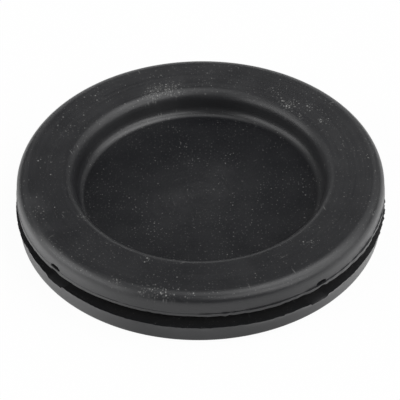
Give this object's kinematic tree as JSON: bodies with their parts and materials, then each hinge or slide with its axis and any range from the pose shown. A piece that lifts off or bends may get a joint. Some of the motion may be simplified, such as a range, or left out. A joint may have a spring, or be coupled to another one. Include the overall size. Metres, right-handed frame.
{
  "type": "blind rubber grommet",
  "caption": "Round moulded rubber plug with a rounded flange, a dished web that closes the middle, and an edge groove over a lower flange that grips the rim of a hole in a panel.",
  "frame": {"origin": "on the axis, at the flat face of the lower flange", "axes": "+Z along the axis, from the lower flange to the dished upper face"},
  "size_m": [0.0338, 0.0338, 0.0054],
  "materials": {
    "rubber": "satin black moulded rubber with fine dust"
  },
  "bodies": {
    "root": {"grommet": "rubber"}
  },
  "joints": []
}
